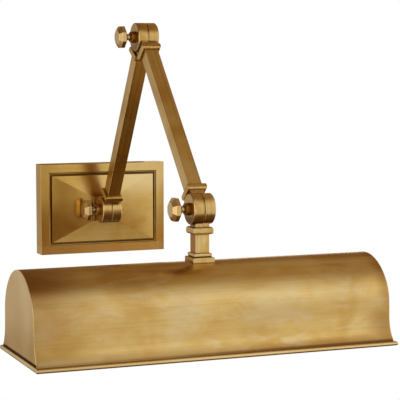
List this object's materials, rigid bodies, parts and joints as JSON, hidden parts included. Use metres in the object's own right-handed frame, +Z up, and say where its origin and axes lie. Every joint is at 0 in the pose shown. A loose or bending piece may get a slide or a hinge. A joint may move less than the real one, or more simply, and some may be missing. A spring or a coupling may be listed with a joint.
{
  "type": "picture light",
  "caption": "Wall-mounted picture light with folding square-tube arms, thumb-knob knuckles and a long flared trough shade.",
  "frame": {"origin": "centre of the wall plate's back, in the plane of the wall", "axes": "+Z up, +Y into the wall, X along the shade"},
  "size_m": [0.4064, 0.4262, 0.3528],
  "materials": {
    "brass": "satin, aged",
    "dark_brass": "satin, darkened",
    "steel": "zinc plated",
    "green_screw": "green coated",
    "fibre": "dark fibre",
    "lead": "matte sleeving",
    "porcelain": "glazed white",
    "cap_metal": "bright",
    "bulb_glass": "frosted"
  },
  "bodies": {
    "wall": {"wall_plate": "brass", "pyramid_panel": "brass", "crossbar": "steel", "canopy_screws": "steel", "ground_screw": "green_screw", "wall_knuckle": "brass", "wall_nut": "steel", "wall_pivot_sleeve": "steel", "wall_friction_washer": "fibre"},
    "wall_knob": {"wall_knob": "brass", "wall_clamp_screw": "steel"},
    "arm_1": {"arm_1_lower_knuckle": "brass", "wall_boss": "dark_brass", "arm_1_tube": "brass", "arm_1_upper_knuckle": "brass", "arm_1_lead": "lead", "elbow_pivot_sleeve": "steel", "elbow_friction_washer": "fibre"},
    "elbow_knob": {"elbow_knob": "brass", "elbow_clamp_screw": "steel"},
    "arm_2": {"arm_2_upper_knuckle": "brass", "elbow_boss": "dark_brass", "arm_2_tube": "brass", "arm_2_lower_knuckle": "brass", "tilt_boss": "dark_brass", "arm_2_lead": "lead"},
    "shade": {"post_knuckle": "brass", "tilt_pivot_sleeve": "steel", "tilt_friction_washer": "fibre", "post_tube": "brass", "post_base": "brass", "post_lead": "lead", "nipple": "steel", "saddle_washer": "steel", "lamp_nut": "steel", "lamp_bracket": "steel", "holder_screws": "steel", "left_lampholder": "porcelain", "right_lampholder": "porcelain", "left_bulb_cap": "cap_metal", "right_bulb_cap": "cap_metal", "left_bulb": "bulb_glass", "right_bulb": "bulb_glass", "lamp_leads": "lead", "shade_trough": "brass", "left_end_cap": "brass", "right_end_cap": "brass", "rim_bead": "brass"},
    "tilt_knob": {"tilt_knob": "brass", "tilt_clamp_screw": "steel"}
  },
  "joints": [
    {"name": "wall_hinge", "type": "hinge", "parent": "wall", "child": "arm_1", "pos_m": [0, -0.0435, 0], "axis": [1, 0, 0], "range_deg": [-25, 35]},
    {"name": "elbow_hinge", "type": "hinge", "parent": "arm_1", "child": "arm_2", "pos_m": [0, -0.17997, 0.21422], "axis": [1, 0, 0], "range_deg": [-60, 7]},
    {"name": "tilt_hinge", "type": "hinge", "parent": "arm_2", "child": "shade", "pos_m": [0, -0.3532, 0.02846], "axis": [1, 0, 0], "range_deg": [-90, 60]},
    {"name": "wall_knob_turn", "type": "hinge", "parent": "wall", "child": "wall_knob", "pos_m": [0, -0.0435, 0], "axis": [1, 0, 0], "range_deg": [-90, 90]},
    {"name": "elbow_knob_turn", "type": "hinge", "parent": "arm_1", "child": "elbow_knob", "pos_m": [0, -0.17997, 0.21422], "axis": [1, 0, 0], "range_deg": [-90, 90]},
    {"name": "tilt_knob_turn", "type": "hinge", "parent": "shade", "child": "tilt_knob", "pos_m": [0, -0.3532, 0.02846], "axis": [1, 0, 0], "range_deg": [-90, 90]}
  ]
}
